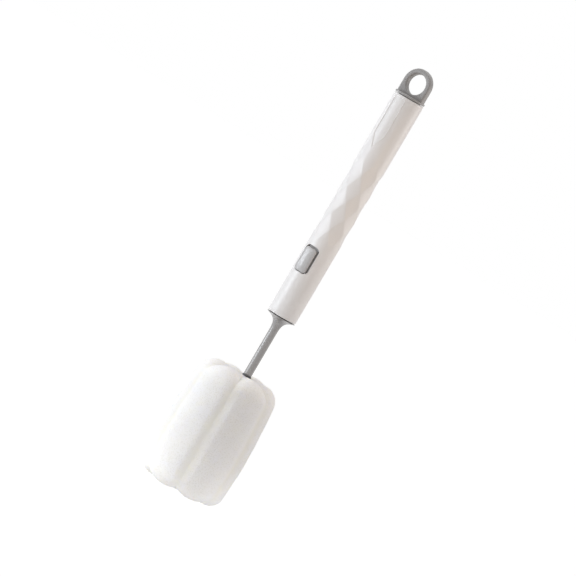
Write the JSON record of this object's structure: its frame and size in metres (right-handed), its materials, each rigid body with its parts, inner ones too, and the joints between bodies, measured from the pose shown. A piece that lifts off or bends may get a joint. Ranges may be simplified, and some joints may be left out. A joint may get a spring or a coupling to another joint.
{
  "type": "bottle brush",
  "caption": "Long-handled bottle brush with a lobed foam head that releases at a push button, a faceted grip and a hanging loop.",
  "frame": {"origin": "centre of the foam head's flat lower end, on the brush's long axis, where the brush stands", "axes": "+Z along the brush from the foam head to the hanging loop; -Y is the front, which the button, the panel and the loop's flat side face"},
  "size_m": [0.0656, 0.0668, 0.3477],
  "materials": {
    "white_plastic": "satin",
    "dark_grey_plastic": "satin",
    "grey_plastic": "satin",
    "button_plastic": "satin",
    "inner_plastic": "matte",
    "spring_steel": "polished",
    "white_foam": "matte"
  },
  "bodies": {
    "handle": {"handle_shell": "white_plastic", "end_cap": "dark_grey_plastic", "socket_insert": "inner_plastic", "latch_spring": "spring_steel", "button_spring": "spring_steel"},
    "button": {"release_button": "button_plastic"},
    "head": {"stem": "grey_plastic", "foam_core": "inner_plastic", "sponge": "white_foam"}
  },
  "joints": [
    {"name": "button_press", "type": "slide", "parent": "handle", "child": "button", "axis": [0, 1, 0], "range_m": [0, 0.0018], "stiffness_N_per_m": 1500, "deforming": ["button_spring", "latch_spring"]},
    {"name": "head_release", "type": "slide", "parent": "handle", "child": "head", "axis": [0, 0, -1], "range_m": [0, 0.046], "deforming": ["latch_spring"]}
  ]
}
